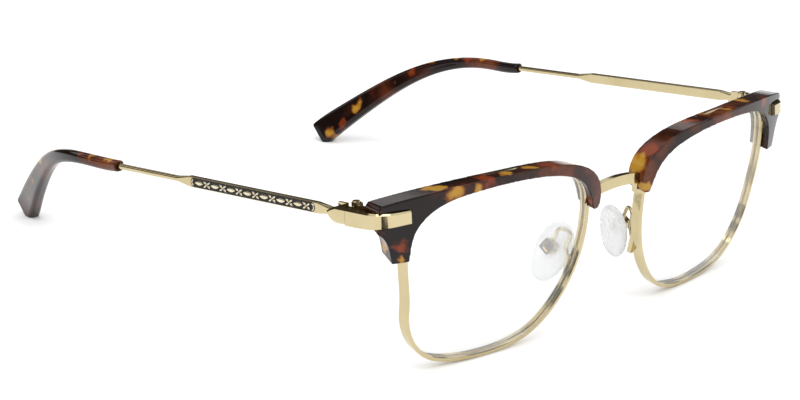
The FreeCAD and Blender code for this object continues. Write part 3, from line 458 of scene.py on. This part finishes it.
# %% The tree itself
ornament = bpy.data.node_groups.new("enamel_ornament", "GeometryNodeTree")
ornament.interface.new_socket("Geometry", in_out="INPUT", socket_type="NodeSocketGeometry")
PAIRS = 7
ROOM_FOR_CRESCENTS = 2.9 * MM
ORNAMENT_SIZES = {"Pairs": PAIRS, "Pitch": (BAND_LENGTH - ROOM_FOR_CRESCENTS) / PAIRS,
                  "Oval Half Length": 1.42 * MM, "Oval Half Height": 0.52 * MM,
                  "Petal Half Length": 0.6 * MM, "Petal Half Height": 0.26 * MM,
                  "Relief": 0.16 * MM, "Crescent Radius": 0.72 * MM, "Crescent Thickness": 0.17 * MM}
sockets = {}
for name, value in ORNAMENT_SIZES.items():
    kind = "NodeSocketInt" if isinstance(value, int) else "NodeSocketFloat"
    sockets[name] = ornament.interface.new_socket(name, in_out="INPUT", socket_type=kind)
ornament.interface.new_socket("Geometry", in_out="OUTPUT", socket_type="NodeSocketGeometry")
given = ornament.nodes.new("NodeGroupInput").outputs
one_petal = petal(ornament)
relief = given["Relief"]
oval = placed(ornament, one_petal, grow=vector_of(ornament, relief, given["Oval Half Length"],
                                                  given["Oval Half Height"]))
small = placed(ornament, one_petal, grow=vector_of(ornament, relief, given["Petal Half Length"],
                                                   given["Petal Half Height"]))
reach = calc(ornament, "MULTIPLY", given["Petal Half Length"], 1.25)
PETAL_LEAN = math.radians(33)
petals = []
for turn in (PETAL_LEAN, math.pi - PETAL_LEAN, math.pi + PETAL_LEAN, -PETAL_LEAN):
    petals.append(placed(ornament, placed(ornament, small, move=vector_of(ornament, 0.0, reach, 0.0)),
                         turn=(turn, 0, 0)))
dot_size = calc(ornament, "MULTIPLY", given["Petal Half Height"], 0.8)
dot = placed(ornament, one_petal, grow=vector_of(ornament, relief, dot_size, dot_size))
cross = joined(ornament, dot, *petals)
half_row = calc(ornament, "MULTIPLY", given["Pitch"], PAIRS / 2)
first_cross = calc(ornament, "ADD", calc(ornament, "MULTIPLY", half_row, -1.0),
                   calc(ornament, "MULTIPLY", given["Pitch"], 0.25))
first_oval = calc(ornament, "ADD", first_cross, calc(ornament, "MULTIPLY", given["Pitch"], 0.5))
crosses = row(ornament, cross, given["Pairs"], first_cross, given["Pitch"])
ovals = row(ornament, oval, given["Pairs"], first_oval, given["Pitch"])
CRESCENT_INSET = 1.15 * MM
end_shift = BAND_LENGTH / 2 - CRESCENT_INSET
crescent_sizes = (given["Crescent Radius"], given["Crescent Thickness"])
front_end = crescent(ornament, *crescent_sizes, -math.pi / 2, -end_shift)
rear_end = crescent(ornament, *crescent_sizes, math.pi / 2, end_shift)
whole = joined(ornament, crosses, ovals, front_end, rear_end)
solid = ornament.nodes.new("GeometryNodeRealizeInstances")
ornament.links.new(whole, solid.inputs["Geometry"])
painted = ornament.nodes.new("GeometryNodeSetMaterial")
painted.inputs["Material"].default_value = relief_gold
ornament.links.new(solid.outputs["Geometry"], painted.inputs["Geometry"])
ornament.links.new(painted.outputs["Geometry"], ornament.nodes.new("NodeGroupOutput").inputs["Geometry"])
print("ornament tree has", len(ornament.nodes), "nodes")

# %% [markdown]
# The same tree is used for both temples. Each result is made a plain mesh, tilted with the temple and moved on
# to the outer face of the enamel, and it rides on its own temple.

# %% Lay the ornament on both temples
for side, sign in (("left", 1), ("right", -1)):
    piece = bpy.data.objects.new(side + "_ornament", bpy.data.meshes.new(side + "_ornament"))
    bpy.context.collection.objects.link(piece)
    modifier = piece.modifiers.new("ornament", "NODES")
    modifier.node_group = ornament
    for name, value in ORNAMENT_SIZES.items():
        modifier[sockets[name].identifier] = value
    mesh = bpy.data.meshes.new_from_object(piece.evaluated_get(bpy.context.evaluated_depsgraph_get()))
    piece.modifiers.clear()
    on_face = Vector((sign * high.x, BAND_MIDDLE.y, BAND_MIDDLE.z))
    mesh.transform(Matrix.Translation(on_face) @ Matrix.Rotation(-SLOPE, 4, "X"))
    mesh.polygons.foreach_set("use_smooth", [True] * len(mesh.polygons))
    mesh.materials.clear()
    mesh.materials.append(relief_gold)
    piece.data = mesh
    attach(piece, side + "_temple")
    print(piece.name, "faces", len(mesh.polygons))

# %% [markdown]
# ## Floor and light
# The floor is plain white. Polished gold shows only what it mirrors, so the studio has soft dark panels above
# the horizon between the bright ones: they draw the dark streaks along the metal. The eye itself sees white.

# %% Floor
floor_mesh = bpy.data.meshes.new("floor")
floor_mesh.from_pydata([(-3, -3, 0), (3, -3, 0), (3, 3, 0), (-3, 3, 0)], [], [(0, 1, 2, 3)])
floor = bpy.data.objects.new("floor", floor_mesh)
bpy.context.collection.objects.link(floor)
floor_white, tree, shader = new_material("floor_white", Roughness=0.9)
place = add_node(tree, "ShaderNodeTexCoord").outputs["Object"]
paper = add_node(tree, "ShaderNodeTexNoise", Vector=place, Scale=30.0)
white = add_ramp(tree, paper.outputs["Fac"], [(0.0, (0.93, 0.93, 0.93)), (1.0, (0.96, 0.96, 0.96))])
tree.links.new(white.outputs["Color"], shader.inputs["Base Color"])
floor_mesh.materials.append(floor_white)

# %% Studio
world = bpy.data.worlds.new("studio")
bpy.context.scene.world = world
world.use_nodes = True
sky = world.node_tree
direction = add_node(sky, "ShaderNodeTexCoord").outputs["Generated"]
height = add_node(sky, "ShaderNodeSeparateXYZ", Vector=direction).outputs["Z"]
panels = add_ramp(sky, height, [
    (0.0, (0.85, 0.84, 0.82)), (0.03, (0.10, 0.08, 0.07)), (0.33, (0.03, 0.025, 0.02)),
    (0.40, (1.0, 0.99, 0.97)), (0.48, (1.0, 0.99, 0.97)), (0.52, (0.06, 0.05, 0.045)),
    (0.68, (0.06, 0.05, 0.045)), (0.76, (1.0, 1.0, 1.0))])
ray = add_node(sky, "ShaderNodeLightPath")
mirrored = add_node(sky, "ShaderNodeMix", {"data_type": "RGBA"})
sky.links.new(ray.outputs["Is Glossy Ray"], mirrored.inputs[0])
mirrored.inputs[6].default_value = (1, 1, 1, 1)
sky.links.new(panels.outputs["Color"], mirrored.inputs[7])
sky.links.new(mirrored.outputs[2], sky.nodes["Background"].inputs["Color"])
sky.nodes["Background"].inputs["Strength"].default_value = 1.0
bpy.context.scene.view_settings.view_transform = "Standard"

# %% Soft lights


def soft_light(name, place, aim, size, power):
    data = bpy.data.lights.new(name, "AREA")
    data.shape = "RECTANGLE"
    data.size, data.size_y = size
    data.energy = power
    light = bpy.data.objects.new(name, data)
    light.location = place
    light.rotation_mode = "QUATERNION"
    light.rotation_quaternion = (Vector(aim) - Vector(place)).to_track_quat("-Z", "Y")
    bpy.context.collection.objects.link(light)


soft_light("key", (-0.5, -0.3, 0.9), (0, 0, 0), (0.9, 0.9), 5.0)
soft_light("fill", (0.6, -0.8, 0.5), (0, 0, 0), (0.7, 0.7), 2.0)

# %% [markdown]
# In a studio a strip of black cloth on the table gives polished metal its contrast. It lies in front of the
# near corner, where the round gold corner mirrors it as a dark streak. Only reflections see the cloth.

# %% The dark cloth in front of the corner
CLOTH_NEAR, CLOTH_FAR, CLOTH_HALF_WIDTH = 0.045, 0.22, 0.045
low, high = (Vector(corner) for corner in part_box("right_endpiece"))
foot = Vector((low.x, low.y, 0.001))
ahead = Vector((math.sin(AZIMUTH), -math.cos(AZIMUTH), 0))
across = Vector((-ahead.y, ahead.x, 0))
corners = [foot + ahead * reach + across * (CLOTH_HALF_WIDTH * side)
           for reach, side in ((CLOTH_NEAR, -1), (CLOTH_FAR, -1), (CLOTH_FAR, 1), (CLOTH_NEAR, 1))]
cloth_mesh = bpy.data.meshes.new("dark_cloth")
cloth_mesh.from_pydata(corners, [], [(0, 1, 2, 3)])
cloth = bpy.data.objects.new("dark_cloth", cloth_mesh)
bpy.context.collection.objects.link(cloth)
cloth.visible_camera = False
cloth.visible_diffuse = False
cloth.visible_shadow = False
cloth_black, tree, shader = new_material("cloth_black", Roughness=1.0, Specular_IOR_Level=0.0)
place = add_node(tree, "ShaderNodeTexCoord").outputs["Object"]
felt = add_node(tree, "ShaderNodeTexNoise", Vector=place, Scale=20.0)
felt_tone = add_ramp(tree, felt.outputs["Fac"], [(0.3, (0.01, 0.008, 0.006)), (0.7, (0.03, 0.022, 0.016))])
tree.links.new(felt_tone.outputs["Color"], shader.inputs["Base Color"])
cloth_mesh.materials.append(cloth_black)
